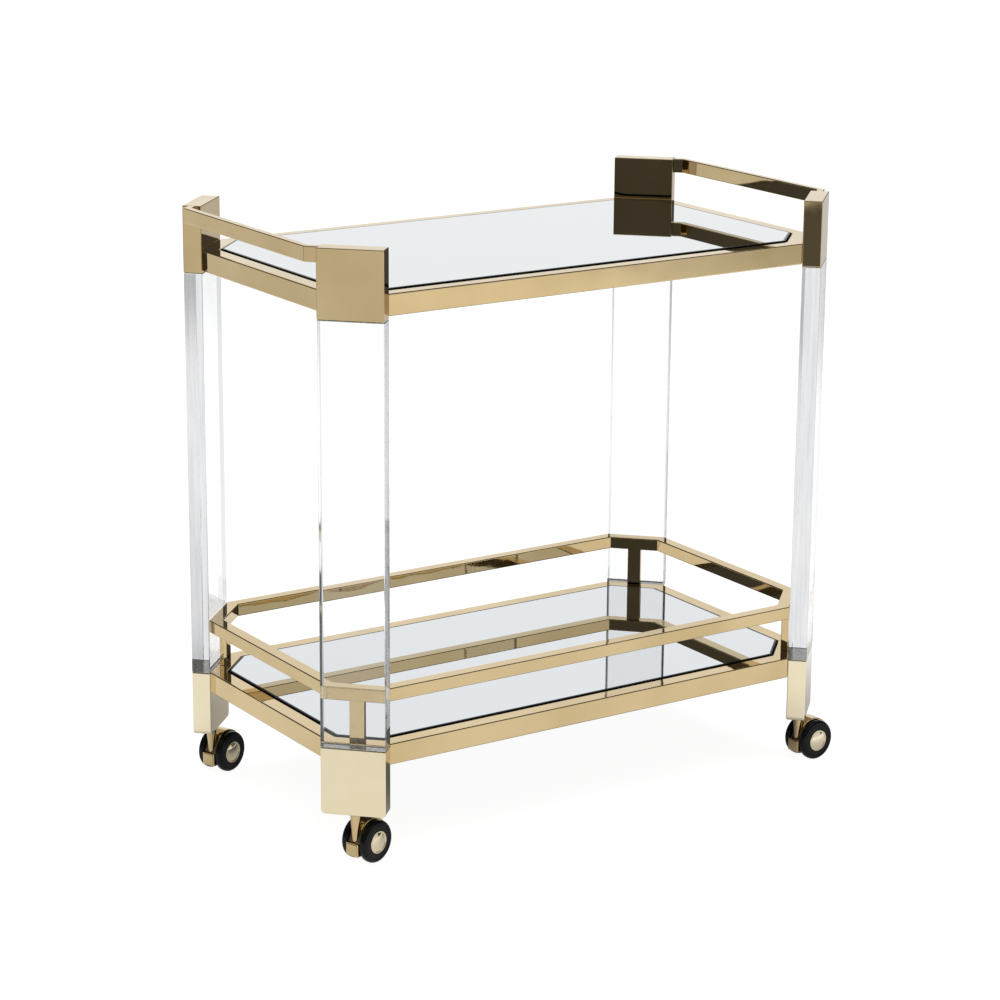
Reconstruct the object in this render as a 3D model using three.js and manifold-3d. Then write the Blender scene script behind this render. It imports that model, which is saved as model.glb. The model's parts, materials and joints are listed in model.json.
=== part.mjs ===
// Two-shelf bar cart on twin-wheel casters: hollow polished metal tray frames, corner blocks and handles,
// clear slab legs, mirror shelves and a gallery rail round the lower shelf.
// Millimetres, +Z up. X runs along the width, Y from front to back, and the origin is on the floor at the
// centre of the cart.

import * as THREE from "three";
import { mergeVertices } from "three/addons/utils/BufferGeometryUtils.js";
import Module from "manifold-3d";

const wasm = await Module();
wasm.setup();

// ---- Driving dimensions ----------------------------------------------------------------------------

const overallHeight = 800.1; // floor to the top of the upper corner blocks
const overallWidth = 812.8; // outer face to outer face of the handles, along X
const frameDepth = 431.8; // front to back over the tray frames

const fitGap = 0.3; // clearance between pieces that butt, rest or slide

// Corner blocks and legs share one flat slab section, set across each cut-off corner.
const blockWidth = 85; // along the cut-off corner
const blockThickness = 25.4; // outwards from the corner
const blockHeight = 89;
const blockWall = 2;
const blockArris = 0.45; // small bevel on the edges of the blocks and legs
const footCornerRadius = 6; // rounding of the two lower corners of a foot block
const footUnderside = 70; // floor to the underside of the foot blocks

// Tray frames
const frameTubeWidth = 22;
const frameTubeHeight = 28;
const frameWall = 1.5;
const frameAboveBlockFoot = 3; // top tray underside above the underside of the upper blocks
const frameAboveFootBlock = 2; // lower tray top above the top of the foot blocks
const ledgeWidth = 12; // inner ledge that carries the shelf
const ledgeThickness = 2;

// Shelves
const mirrorThickness = 5;
const mirrorProud = 1.5; // mirror face above the frame's rim
const mirrorMargin = 1.5; // all round, between mirror and frame
const backingThickness = 4;
const backingMargin = 0.6;

// Gallery rail round the lower shelf
const galleryTubeWidth = 18;
const galleryTubeHeight = 17.5;
const galleryWall = 1.2;
const galleryRise = 74.5; // lower tray rim to the top of the rail
const postWidth = 19.5;
const postThickness = 10;

// Handles, one at each end
const handleTubeWidth = 10;
const handleTubeHeight = 20;
const handleWall = 1.2;
const handleLegLength = 17; // outer face of the short legs that stand out from the blocks

// Vent holes where hollow sections are joined
const ventRadius = 3.5;

// Casters
const wheelRadius = 28;
const tyreWidth = 10;
const tyreShoulder = 2.2;
const hubRadius = 13;
const capRadius = 14.9;
const capSeatDepth = 1.4; // recess in the tyre's face that the cap sits in
const capRim = 1.1;
const capDome = 2.4; // rise of the dome above the rim
const axleRadius = 2.5;
const axleIntoHub = 6.5;
const hoodWidth = 20;
const hoodOverWheel = 2.1; // hood's arc beyond the tread
const noseReach = 9; // nose's flat face ahead of the swivel axis
const noseBottom = 12.5; // also the hood's straight lower edge
const noseTop = 30.5;
const casterTrail = 21; // axle behind the swivel axis
const bossRadius = 7.2; // at the top; the boss tapers down into the hood
const bossFootRadius = 4.8;
const bossFoot = 30;
const stemRadius = 4.75;
const stemAboveBlock = 38;
const stemBelowBlock = 18;
const socketWall = 1.6;
const socketLength = 42;
const flangeRadius = 8.5;
const flangeThickness = 1.5;

const tyreFacets = 24;
const hubFacets = 20;
const pinFacets = 16;
const arcSteps = 10;

// Which way each caster trails at rest, in degrees anticlockwise from +X.
const corners = [
  { name: "front_left", x: -1, y: -1, trail: 18 },
  { name: "front_right", x: 1, y: -1, trail: 4 },
  { name: "back_left", x: -1, y: 1, trail: 22 },
  { name: "back_right", x: 1, y: 1, trail: 24 },
];

// ---- Derived sizes ---------------------------------------------------------------------------------

const diagonal = Math.SQRT1_2;
const cornerCut = blockWidth * diagonal; // each tray corner is cut off to a block's width
const handleSetBack = (blockThickness - handleTubeWidth) / 2; // handle leg centred on a block's end
const handleStandOut = (handleLegLength - handleSetBack) * diagonal; // beyond the blocks, along X
const widthOverBlocks = overallWidth - 2 * handleStandOut;
const halfWidth = widthOverBlocks / 2 - (blockThickness + fitGap) * diagonal; // of the tray frames
const halfDepth = frameDepth / 2;
const upperUnderside = overallHeight - blockHeight;
const topFrameTop = upperUnderside + frameAboveBlockFoot + frameTubeHeight;
const footTop = footUnderside + blockHeight;
const lowerFrameTop = footTop + frameAboveFootBlock;
const galleryTop = lowerFrameTop + galleryRise;
const hubInnerFace = hoodWidth / 2 + fitGap; // along the axle, from the caster's middle
const socketBore = stemRadius + fitGap;
const socketRadius = socketBore + socketWall;

// ---- Finishes --------------------------------------------------------------------------------------

function finish(color, roughness, metalness) {
  return new THREE.MeshStandardMaterial({ color, roughness, metalness });
}

const polishedGold = finish(0xd8bd84, 0.12, 1);
const paleGold = finish(0xe2cfa4, 0.2, 1);
const mirrorSilver = finish(0xe9edf0, 0.03, 1);
const blackBoard = finish(0x15120e, 0.7, 0);
const blackTyre = finish(0x1a1a1d, 0.45, 0);
const plainSteel = finish(0xb4b4b0, 0.35, 1);
const clearAcrylic = finish(0xf4f7f8, 0.05, 0);
clearAcrylic.transparent = true;
clearAcrylic.opacity = 0.3;

// ---- Solids ----------------------------------------------------------------------------------------

function toSolid(geometry) {
  const bare = geometry.clone();
  bare.deleteAttribute("normal");
  bare.deleteAttribute("uv");
  const merged = mergeVertices(bare, 1e-4);
  return new wasm.Manifold(
    new wasm.Mesh({
      numProp: 3,
      vertProperties: new Float32Array(merged.attributes.position.array),
      triVerts: new Uint32Array(merged.index.array),
    })
  );
}

function toGeometry(solid) {
  const mesh = solid.getMesh();
  const geometry = new THREE.BufferGeometry();
  geometry.setAttribute("position", new THREE.BufferAttribute(mesh.vertProperties, 3));
  geometry.setIndex(new THREE.BufferAttribute(mesh.triVerts, 1));
  return geometry;
}

// A flat outline raised from one height to another.
function raise(shape, fromHeight, toHeight) {
  const geometry = new THREE.ExtrudeGeometry(shape, {
    depth: toHeight - fromHeight,
    bevelEnabled: false,
    curveSegments: arcSteps,
  });
  return geometry.translate(0, 0, fromHeight);
}

// A round bar along +Z, tapered where its foot has a radius of its own.
function bar(radius, fromHeight, toHeight, facets, footRadius = radius) {
  const length = toHeight - fromHeight;
  const geometry = new THREE.CylinderGeometry(radius, footRadius, length, facets);
  return geometry.rotateX(Math.PI / 2).translate(0, 0, fromHeight + length / 2);
}

// A turned piece whose profile is [radius, height] points, turned about +Z.
function turned(profile, facets) {
  const points = profile.map(([radius, height]) => new THREE.Vector2(radius, height));
  return new THREE.LatheGeometry(points, facets).rotateX(Math.PI / 2);
}

// The tray outline, a rectangle with its corners cut off at 45 degrees, moved inwards by inset.
function trayOutline(inset) {
  const x = halfWidth - inset;
  const y = halfDepth - inset;
  const cut = cornerCut - inset * (2 - Math.SQRT2);
  return [
    new THREE.Vector2(x, -y + cut),
    new THREE.Vector2(x, y - cut),
    new THREE.Vector2(x - cut, y),
    new THREE.Vector2(-x + cut, y),
    new THREE.Vector2(-x, y - cut),
    new THREE.Vector2(-x, -y + cut),
    new THREE.Vector2(-x + cut, -y),
    new THREE.Vector2(x - cut, -y),
  ];
}

function trayPlate(inset, fromHeight, toHeight) {
  return raise(new THREE.Shape(trayOutline(inset)), fromHeight, toHeight);
}

function trayRing(outerInset, innerInset, fromHeight, toHeight) {
  const shape = new THREE.Shape(trayOutline(outerInset));
  shape.holes.push(new THREE.Path(trayOutline(innerInset).reverse()));
  return raise(shape, fromHeight, toHeight);
}

// Turns a piece made for a corner, with +Y outwards and its corner face at y = 0, into that corner.
function placeAtCorner(object, corner) {
  const middle = cornerCut / 2;
  object.position.set(corner.x * (halfWidth - middle), corner.y * (halfDepth - middle), 0);
  object.rotation.z = Math.atan2(corner.y, corner.x) - Math.PI / 2;
  return object;
}

// ---- Tray frames, gallery rail and posts -----------------------------------------------------------

// Holes from outside a corner face into the tube behind it.
function cornerVents(height) {
  return corners.map((corner) => {
    const hole = new THREE.CylinderGeometry(ventRadius, ventRadius, 4 * frameWall, pinFacets);
    const holder = placeAtCorner(new THREE.Object3D(), corner);
    holder.updateMatrix();
    hole.translate(0, 0, height);
    return toSolid(hole.applyMatrix4(holder.matrix));
  });
}

function trayFrame(topHeight) {
  const underside = topHeight - frameTubeHeight;
  const boardUnderside = topHeight + mirrorProud - mirrorThickness - fitGap - backingThickness;
  const ledgeTop = boardUnderside - fitGap;
  const tube = toSolid(trayRing(0, frameTubeWidth, underside, topHeight));
  const ledge = toSolid(
    trayRing(frameTubeWidth - frameWall / 2, frameTubeWidth + ledgeWidth, ledgeTop - ledgeThickness, ledgeTop)
  );
  const hollow = toSolid(
    trayRing(frameWall, frameTubeWidth - frameWall, underside + frameWall, topHeight - frameWall)
  );
  let frame = tube.add(ledge).subtract(hollow);
  for (const vent of cornerVents(underside + frameTubeHeight / 2)) {
    frame = frame.subtract(vent);
  }
  return toGeometry(frame);
}

function galleryRail() {
  const underside = galleryTop - galleryTubeHeight;
  const tube = toSolid(trayRing(0, galleryTubeWidth, underside, galleryTop));
  const hollow = toSolid(
    trayRing(galleryWall, galleryTubeWidth - galleryWall, underside + galleryWall, galleryTop - galleryWall)
  );
  let rail = tube.subtract(hollow);
  for (const corner of corners) {
    const holder = placeAtCorner(new THREE.Object3D(), corner);
    holder.updateMatrix();
    const hole = bar(ventRadius, underside - galleryWall, underside + 2 * galleryWall, pinFacets);
    hole.translate(0, -galleryTubeWidth / 2, 0);
    rail = rail.subtract(toSolid(hole.applyMatrix4(holder.matrix)));
  }
  return toGeometry(rail);
}

function galleryPost() {
  const foot = lowerFrameTop + fitGap;
  const head = galleryTop - galleryTubeHeight - fitGap;
  const post = new THREE.BoxGeometry(postWidth, postThickness, head - foot);
  return post.translate(0, -galleryTubeWidth / 2, (foot + head) / 2);
}

// ---- Corner blocks and legs ------------------------------------------------------------------------

// A slab across the corner with all its edges bevelled; its lower corners may be rounded.
function slab(fromHeight, toHeight, lowerRadius) {
  const halfSpan = blockWidth / 2 - blockArris;
  const low = fromHeight + blockArris;
  const high = toHeight - blockArris;
  const shape = new THREE.Shape();
  shape.moveTo(-halfSpan, high);
  shape.lineTo(-halfSpan, low + lowerRadius);
  if (lowerRadius > 0) {
    shape.absarc(-halfSpan + lowerRadius, low + lowerRadius, lowerRadius, Math.PI, 1.5 * Math.PI, false);
    shape.absarc(halfSpan - lowerRadius, low + lowerRadius, lowerRadius, 1.5 * Math.PI, 2 * Math.PI, false);
  } else {
    shape.lineTo(halfSpan, low);
  }
  shape.lineTo(halfSpan, high);
  const geometry = new THREE.ExtrudeGeometry(shape, {
    depth: blockThickness - 2 * blockArris,
    bevelThickness: blockArris,
    bevelSize: blockArris,
    bevelSegments: 1,
    curveSegments: 5,
  });
  // The outline stands upright, and the slab's inner face lies just outside the corner face.
  geometry.rotateX(Math.PI / 2);
  return geometry.translate(0, blockThickness - blockArris + fitGap, 0);
}

function slabHollow(fromHeight, toHeight) {
  const hollow = new THREE.BoxGeometry(
    blockWidth - 2 * blockWall,
    blockThickness - 2 * blockWall,
    toHeight - fromHeight - 2 * blockWall
  );
  return toSolid(hollow.translate(0, blockThickness / 2 + fitGap, (fromHeight + toHeight) / 2));
}

function blockVent(height) {
  const hole = new THREE.CylinderGeometry(ventRadius, ventRadius, 2 * blockWall, pinFacets);
  return toSolid(hole.translate(0, fitGap + blockWall / 2, height));
}

function upperBlock() {
  const block = toSolid(slab(upperUnderside, overallHeight, 0));
  const hollow = slabHollow(upperUnderside, overallHeight);
  const vent = blockVent(topFrameTop - frameTubeHeight / 2);
  return toGeometry(block.subtract(hollow).subtract(vent));
}

function footBlock() {
  const block = toSolid(slab(footUnderside, footTop, footCornerRadius));
  // The hollow stops short of the rounded lower corners.
  const hollow = slabHollow(footUnderside + footCornerRadius, footTop);
  const vent = blockVent(lowerFrameTop - frameTubeHeight / 2);
  const bore = bar(socketRadius + fitGap, footUnderside - blockWall, footTop - 3 * blockWall, pinFacets);
  bore.translate(0, blockThickness / 2 + fitGap, 0);
  return toGeometry(block.subtract(hollow).subtract(vent).subtract(toSolid(bore)));
}

function acrylicLeg() {
  return slab(footTop + fitGap, upperUnderside - fitGap, 0);
}

// ---- Handles ---------------------------------------------------------------------------------------

// Plan of the right handle's tube, shrunk by inset: a long run along Y with a leg turned in at each end.
// The plan runs from block to block along the outer face, and back along the inner one. Each leg's end
// stands off its block by the fit gap, less overrun, which takes a hollow out through that end.
function handlePlan(inset, overrun) {
  const outerCornerX = widthOverBlocks / 2;
  const outerCornerY = halfDepth - cornerCut + (blockThickness + fitGap) * diagonal;
  const start = fitGap - overrun;
  // A point on the leg: along it from the block's end face, and in from the block's outer face.
  const legPoint = (along, inwards, side) =>
    new THREE.Vector2(
      outerCornerX + (along - inwards) * diagonal,
      side * (outerCornerY - (along + inwards) * diagonal)
    );
  const outerBend = handleLegLength;
  const turn = Math.tan(Math.PI / 8); // a mitre at half of 45 degrees
  const near = handleSetBack + inset;
  const far = handleSetBack + handleTubeWidth - inset;
  const nearBend = outerBend - inset * turn;
  const farBend = outerBend - (handleTubeWidth - inset) * turn;
  return [
    legPoint(start, near, -1),
    legPoint(nearBend, near, -1),
    legPoint(nearBend, near, 1),
    legPoint(start, near, 1),
    legPoint(start, far, 1),
    legPoint(farBend, far, 1),
    legPoint(farBend, far, -1),
    legPoint(start, far, -1),
  ];
}

function handleRail(side) {
  const underside = overallHeight - handleTubeHeight;
  const outer = raise(new THREE.Shape(handlePlan(0, 0)), underside, overallHeight);
  const inner = raise(
    new THREE.Shape(handlePlan(handleWall, handleTubeWidth / 2)),
    underside + handleWall,
    overallHeight - handleWall
  );
  const rail = toGeometry(toSolid(outer).subtract(toSolid(inner)));
  return side > 0 ? rail : rail.rotateZ(Math.PI);
}

// ---- Shelves ---------------------------------------------------------------------------------------

function mirrorPlate(frameTop) {
  const face = frameTop + mirrorProud;
  return trayPlate(frameTubeWidth + mirrorMargin, face - mirrorThickness, face);
}

function backingBoard(frameTop) {
  const face = frameTop + mirrorProud - mirrorThickness - fitGap;
  return trayPlate(frameTubeWidth + backingMargin, face - backingThickness, face);
}

// ---- Casters ---------------------------------------------------------------------------------------
// Made about the swivel axis at x = y = 0, trailing towards +X, with the axle along Y.

function casterSocket() {
  const seat = footUnderside - fitGap;
  return turned(
    [
      [socketBore, seat - flangeThickness],
      [flangeRadius, seat - flangeThickness],
      [flangeRadius, seat],
      [socketRadius, seat],
      [socketRadius, footUnderside + socketLength],
      [socketBore, footUnderside + socketLength],
      [socketBore, seat - flangeThickness],
    ],
    pinFacets
  );
}

function casterStem() {
  const tip = footUnderside + stemAboveBlock;
  const chamfer = stemRadius / 4;
  return turned(
    [
      [0, footUnderside - stemBelowBlock],
      [stemRadius, footUnderside - stemBelowBlock],
      [stemRadius, tip - chamfer],
      [stemRadius - chamfer, tip],
      [0, tip],
    ],
    pinFacets
  );
}

// Side outline of the hood: flat nose, ledge, arc over the wheels and a straight lower edge.
function hoodOutline() {
  const arcRadius = wheelRadius + hoodOverWheel;
  const ledgeRise = Math.asin((noseTop + hoodOverWheel - wheelRadius) / arcRadius);
  const rearDrop = Math.asin((wheelRadius - noseBottom) / arcRadius);
  const shape = new THREE.Shape();
  shape.moveTo(-noseReach, noseBottom);
  shape.lineTo(-noseReach, noseTop);
  shape.absarc(casterTrail, wheelRadius, arcRadius, Math.PI - ledgeRise, -rearDrop, true);
  shape.closePath();
  return shape;
}

function casterBody() {
  const hood = raise(hoodOutline(), -hoodWidth / 2, hoodWidth / 2).rotateX(Math.PI / 2);
  const bossTop = footUnderside - 2 * fitGap - flangeThickness;
  const boss = bar(bossRadius, bossFoot, bossTop, pinFacets, bossFootRadius);
  const stemHole = bar(
    stemRadius + fitGap,
    footUnderside - stemBelowBlock - fitGap,
    footUnderside,
    pinFacets
  );
  const axleHole = new THREE.CylinderGeometry(
    axleRadius + fitGap,
    axleRadius + fitGap,
    2 * hoodWidth,
    pinFacets
  ).translate(casterTrail, 0, wheelRadius);
  const body = toSolid(hood).add(toSolid(boss)).subtract(toSolid(stemHole)).subtract(toSolid(axleHole));
  return toGeometry(body);
}

function casterAxle() {
  const halfLength = hubInnerFace + axleIntoHub;
  const axle = new THREE.CylinderGeometry(axleRadius, axleRadius, 2 * halfLength, pinFacets);
  return axle.translate(casterTrail, 0, wheelRadius);
}

// Turns a wheel piece, made about +Z with its inner face at height 0, onto one end of the axle.
// A corner of the faceted tread ends up at the bottom, at the full radius.
function ontoAxle(geometry, side) {
  geometry.translate(0, 0, hubInnerFace);
  geometry.rotateX(side > 0 ? -Math.PI / 2 : Math.PI / 2);
  return geometry.translate(casterTrail, 0, wheelRadius);
}

function tyre(side) {
  const bore = hubRadius + fitGap;
  const seat = capRadius + fitGap;
  const seatHeight = tyreWidth - capSeatDepth;
  const profile = [
    [bore, 0],
    [wheelRadius - tyreShoulder / 2, 0],
    [wheelRadius, tyreShoulder / 2],
    [wheelRadius, tyreWidth - tyreShoulder],
    [wheelRadius - tyreShoulder, tyreWidth],
    [seat, tyreWidth],
    [seat, seatHeight],
    [bore, seatHeight],
    [bore, 0],
  ];
  return ontoAxle(turned(profile, tyreFacets), side);
}

function hub(side) {
  const seatHeight = tyreWidth - capSeatDepth + fitGap;
  const rimHeight = seatHeight + capRim;
  const bore = axleRadius + fitGap;
  const boreEnd = axleIntoHub + fitGap;
  const profile = [
    [0, boreEnd],
    [bore, boreEnd],
    [bore, 0],
    [hubRadius, 0],
    [hubRadius, seatHeight],
    [capRadius, seatHeight],
    [capRadius, rimHeight],
    [0.8 * capRadius, rimHeight + 0.55 * capDome],
    [0.42 * capRadius, rimHeight + 0.9 * capDome],
    [0, rimHeight + capDome],
  ];
  return ontoAxle(turned(profile, hubFacets), side);
}

// ---- Assembly --------------------------------------------------------------------------------------

const cart = new THREE.Group();

function addPart(parent, name, geometry, material) {
  const mesh = new THREE.Mesh(geometry, material);
  mesh.name = name;
  parent.add(mesh);
  return mesh;
}

addPart(cart, "top_frame", trayFrame(topFrameTop), polishedGold);
addPart(cart, "lower_frame", trayFrame(lowerFrameTop), polishedGold);
addPart(cart, "gallery_rail", galleryRail(), polishedGold);
addPart(cart, "top_mirror", mirrorPlate(topFrameTop), mirrorSilver);
addPart(cart, "top_backing", backingBoard(topFrameTop), blackBoard);
addPart(cart, "lower_mirror", mirrorPlate(lowerFrameTop), mirrorSilver);
addPart(cart, "lower_backing", backingBoard(lowerFrameTop), blackBoard);
addPart(cart, "handle_left", handleRail(-1), polishedGold);
addPart(cart, "handle_right", handleRail(1), polishedGold);

for (const corner of corners) {
  const place = placeAtCorner(new THREE.Group(), corner);
  addPart(place, `upper_block_${corner.name}`, upperBlock(), polishedGold);
  addPart(place, `acrylic_leg_${corner.name}`, acrylicLeg(), clearAcrylic);
  addPart(place, `foot_block_${corner.name}`, footBlock(), paleGold);
  addPart(place, `gallery_post_${corner.name}`, galleryPost(), polishedGold);
  cart.add(place);

  const caster = new THREE.Group();
  const outwards = (fitGap + blockThickness / 2) * diagonal - cornerCut / 2;
  caster.position.set(corner.x * (halfWidth + outwards), corner.y * (halfDepth + outwards), 0);
  caster.rotation.z = THREE.MathUtils.degToRad(corner.trail);
  addPart(caster, `caster_socket_${corner.name}`, casterSocket(), plainSteel);
  addPart(caster, `caster_stem_${corner.name}`, casterStem(), plainSteel);
  addPart(caster, `caster_body_${corner.name}`, casterBody(), polishedGold);
  addPart(caster, `caster_axle_${corner.name}`, casterAxle(), plainSteel);
  for (const [label, side] of [["near", -1], ["far", 1]]) {
    addPart(caster, `${label}_tyre_${corner.name}`, tyre(side), blackTyre);
    addPart(caster, `${label}_hub_${corner.name}`, hub(side), paleGold);
  }
  cart.add(caster);
}

export default cart;
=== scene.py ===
"""Bar cart on casters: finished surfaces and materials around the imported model.

Every piece is worked out in the model's own frame, in metres: X along the width, Y from front to back,
Z up, with the origin on the floor at the centre of the cart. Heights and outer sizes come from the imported
nodes; the section sizes that a node's box can't tell are fields of the class that makes the piece.
"""

import json
import logging
import math
from dataclasses import dataclass
from enum import Enum

import bpy
import numpy as np
from mathutils import Matrix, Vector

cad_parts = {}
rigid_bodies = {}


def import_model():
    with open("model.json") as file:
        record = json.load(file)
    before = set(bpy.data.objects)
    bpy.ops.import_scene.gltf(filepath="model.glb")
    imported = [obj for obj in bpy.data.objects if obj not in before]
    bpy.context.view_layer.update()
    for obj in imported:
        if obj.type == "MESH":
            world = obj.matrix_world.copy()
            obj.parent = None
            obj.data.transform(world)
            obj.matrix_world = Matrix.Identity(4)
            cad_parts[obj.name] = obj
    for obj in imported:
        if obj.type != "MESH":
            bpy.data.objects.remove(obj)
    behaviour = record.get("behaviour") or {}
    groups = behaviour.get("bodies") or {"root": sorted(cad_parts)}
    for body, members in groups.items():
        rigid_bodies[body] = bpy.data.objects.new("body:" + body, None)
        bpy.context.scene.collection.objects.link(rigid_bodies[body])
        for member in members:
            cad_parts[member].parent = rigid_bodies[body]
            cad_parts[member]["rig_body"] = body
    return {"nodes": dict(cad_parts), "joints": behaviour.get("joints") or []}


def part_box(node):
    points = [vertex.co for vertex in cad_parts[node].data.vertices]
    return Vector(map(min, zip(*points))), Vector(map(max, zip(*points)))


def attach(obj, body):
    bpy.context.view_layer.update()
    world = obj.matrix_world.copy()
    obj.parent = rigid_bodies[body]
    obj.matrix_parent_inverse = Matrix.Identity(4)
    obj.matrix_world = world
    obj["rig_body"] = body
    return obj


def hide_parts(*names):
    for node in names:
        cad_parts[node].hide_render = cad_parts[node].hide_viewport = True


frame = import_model()

log = logging.getLogger("bar_cart")

HALF_ROOT = math.sqrt(0.5)
QUARTER_TURN = math.pi / 2
# Cosines of the largest bends that are shaded smooth, on a closed outline and on a cap's open one.
SMOOTH_BEND = 0.9
SMOOTH_CAP_BEND = 0.97


# ---- Outlines and surfaces -------------------------------------------------------------------------


@dataclass(frozen=True)
class Outline:
    """A line in a plane: its points and the unit normals on its right-hand side, both (n, 2).

    An anticlockwise closed outline has its normals pointing outwards.
    """

    points: np.ndarray
    normals: np.ndarray


def unit(vectors: np.ndarray) -> np.ndarray:
    """Returns the vectors scaled to length 1, leaving zero vectors as they are."""
    length = np.linalg.norm(vectors, axis=-1, keepdims=True)
    return vectors / np.where(length > 0, length, 1)


def rounded(corners: list, radii: float | list, steps: int = 4, closed: bool = True) -> Outline:
    """Rounds each corner of a polyline with an arc.

    A corner that turns by an angle t is replaced by an arc of its radius r whose ends lie r * tan(t / 2)
    from the corner along both edges; the arc's normals turn evenly from one edge's to the next one's.

    Args:
        corners: The corner points in walking order.
        radii: One radius for all the corners, or one for each. A corner of radius 0 stays one point.
        steps: Facets in each arc.
        closed: Whether the last corner joins the first.

    Returns:
        The rounded outline, with normals on the right-hand side of the walk.
    """
    corner = np.asarray(corners, float)
    radius = np.broadcast_to(np.asarray(radii, float), len(corner)).copy()
    arrive = unit(corner - np.roll(corner, 1, axis=0))
    leave = unit(np.roll(corner, -1, axis=0) - corner)
    if not closed:
        arrive[0], leave[-1] = leave[0], arrive[-1]
        radius[[0, -1]] = 0
    cross = arrive[:, 0] * leave[:, 1] - arrive[:, 1] * leave[:, 0]
    turn = np.arctan2(cross, (arrive * leave).sum(1))
    left = np.stack([-arrive[:, 1], arrive[:, 0]], axis=1)
    reach = radius * np.abs(np.tan(turn / 2))
    signed = (radius * np.sign(turn))[:, None]
    centre = corner - arrive * reach[:, None] + left * signed
    heading = np.arctan2(arrive[:, 1], arrive[:, 0])[:, None] - QUARTER_TURN
    angle = heading + turn[:, None] * np.linspace(0, 1, steps + 1)
    normal = np.stack([np.cos(angle), np.sin(angle)], axis=2)
    point = centre[:, None, :] + normal * signed[:, None, :]
    keep = np.broadcast_to(radius[:, None] > 0, angle.shape).copy()
    keep[:, 0] = True
    return Outline(point[keep], normal[keep])


def softened(corners: list, steps: int = 4, closed: bool = True) -> Outline:
    """Rounds a polyline whose corners are given as (x, y, radius)."""
    table = np.array(corners, float)
    return rounded(table[:, :2], table[:, 2], steps, closed)


def rectangle(width: float, height: float, radius: float, steps: int = 4) -> Outline:
    """Returns a rounded rectangle about the origin, with its width along the first axis."""
    x, y = width / 2, height / 2
    return rounded([(-x, -y), (x, -y), (x, y), (-x, y)], radius, steps)


class Shell:
    """Closed surfaces gathered into one mesh: grids of points whose columns join up, with their normals."""

    def __init__(self) -> None:
        """Starts with no surface."""
        self.points: list[np.ndarray] = []
        self.normals: list[np.ndarray] = []
        self.faces: list[tuple] = []
        self.slots: list[int] = []
        self.flat: list[int] = []
        self.count = 0

    def add(self, points: np.ndarray, normals: np.ndarray, wrap: bool = False, slot: int | np.ndarray = 0,
            cap_slots: tuple = (0, 0), flat: bool = False) -> "Shell":
        """Adds a closed surface over a grid of rows and columns.

        Each cell of the grid is one face between two rows and two columns; the last column joins the first.
        The rows also join up, or else a flat cap closes each end.

        Args:
            points: Grid of places, (rows, columns, 3).
            normals: Grid of unit normals of the same shape.
            wrap: Whether the last row joins the first.
            slot: Material slot of the side faces, or one for each column.
            cap_slots: Material slots of the first and the last row's caps.
            flat: Whether its side faces are shaded flat, as its caps always are.

        Returns:
            This shell, so that calls can follow one another.
        """
        rows, columns = points.shape[:2]
        index = np.arange(rows * columns).reshape(rows, columns) + self.count
        lower = index if wrap else index[:-1]
        upper = np.roll(index, -1, axis=0) if wrap else index[1:]
        right = np.roll(lower, -1, axis=1), np.roll(upper, -1, axis=1)
        quads = np.stack([lower, right[0], right[1], upper], axis=2).reshape(-1, 4)
        faces = [tuple(face) for face in quads.tolist()]
        slots = np.broadcast_to(slot, lower.shape).ravel().tolist()
        if not wrap:
            faces += [tuple(index[0][::-1].tolist()), tuple(index[-1].tolist())]
            slots += list(cap_slots)
        if self._inside_out(points, quads - self.count, wrap):
            faces = [face[::-1] for face in faces]
        first, last = len(self.faces), len(self.faces) + len(faces)
        self.flat += range(first, last) if flat else ([] if wrap else [last - 2, last - 1])
        self.points.append(points.reshape(-1, 3))
        self.normals.append(normals.reshape(-1, 3))
        self.faces += faces
        self.slots += slots
        self.count += rows * columns
        return self

    @staticmethod
    def _inside_out(points: np.ndarray, quads: np.ndarray, wrap: bool) -> bool:
        """Returns whether the surface's faces enclose a negative volume, each cap counted as a fan."""
        place = points.reshape(-1, 3) - points.reshape(-1, 3).mean(0)
        a, b, c, d = (place[quads[:, k]] for k in range(4))
        volume = np.einsum("ij,ij->", a, np.cross(b, c)) + np.einsum("ij,ij->", a, np.cross(c, d))
        if not wrap:
            columns = points.shape[1]
            for ring, sense in ((place[:columns], -1), (place[-columns:], 1)):
                following = np.roll(ring, -1, axis=0)
                volume += sense * np.einsum("ij,ij->", ring.mean(0)[None], np.cross(ring, following))
        return volume < 0

    def build(self, name: str, materials: list) -> bpy.types.Object:
        """Puts the surfaces into a smooth-shaded mesh object at the origin.

        Args:
            name: The piece's name.
            materials: The materials of its slots, in order.

        Returns:
            The new object, linked to the scene.
        """
        mesh = bpy.data.meshes.new(name)
        mesh.from_pydata(np.concatenate(self.points).tolist(), [], self.faces)
        mesh.polygons.foreach_set("material_index", self.slots)
        mesh.polygons.foreach_set("use_smooth", [True] * len(self.faces))
        for material in materials:
            mesh.materials.append(material)
        corner = np.zeros(len(mesh.loops), int)
        mesh.loops.foreach_get("vertex_index", corner)
        shading = unit(np.concatenate(self.normals))[corner]
        facing = np.zeros(len(mesh.polygons) * 3)
        mesh.polygons.foreach_get("normal", facing)
        start, total = np.zeros((2, len(mesh.polygons)), int)
        mesh.polygons.foreach_get("loop_start", start)
        mesh.polygons.foreach_get("loop_total", total)
        plain = np.isin(np.repeat(np.arange(len(total)), total), self.flat)
        shading[plain] = np.repeat(facing.reshape(-1, 3), total, axis=0)[plain]
        mesh.normals_split_custom_set(shading.tolist())
        mesh.update()
        piece = bpy.data.objects.new(name, mesh)
        bpy.context.scene.collection.objects.link(piece)
        return piece


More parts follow.
